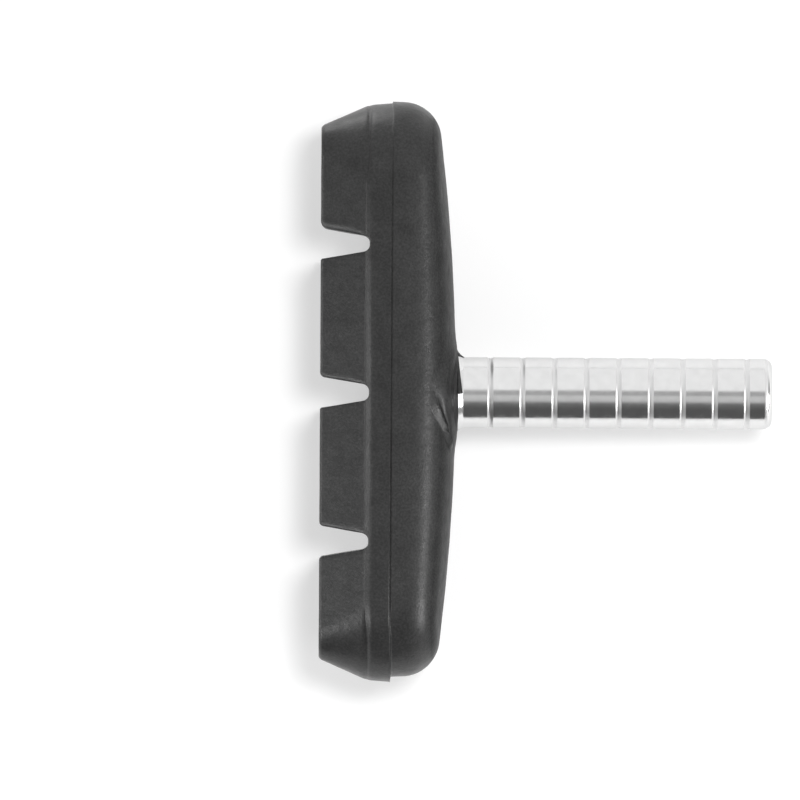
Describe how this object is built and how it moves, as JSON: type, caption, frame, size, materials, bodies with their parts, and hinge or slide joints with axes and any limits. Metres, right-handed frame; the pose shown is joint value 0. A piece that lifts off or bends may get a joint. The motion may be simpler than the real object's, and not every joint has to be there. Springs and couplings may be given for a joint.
{
  "type": "bicycle rim brake pad",
  "caption": "Moulded black rubber rim brake pad with drainage notches and a crowned back on a plain grooved steel post, clamped by the eye bolt of a cantilever brake.",
  "frame": {"origin": "on the post's axis, where the post leaves the rubber", "axes": "+X along the post, out of the pad's back. +Y along the pad's length, along the rim. +Z across the pad, towards the wheel's hub"},
  "size_m": [0.0449, 0.0578, 0.0175],
  "materials": {
    "rubber": "matte",
    "post_steel": "satin",
    "plate_steel": "satin"
  },
  "bodies": {
    "root": {"brake_block": "rubber", "mounting_post": "post_steel", "backing_plate": "plate_steel"}
  },
  "joints": []
}
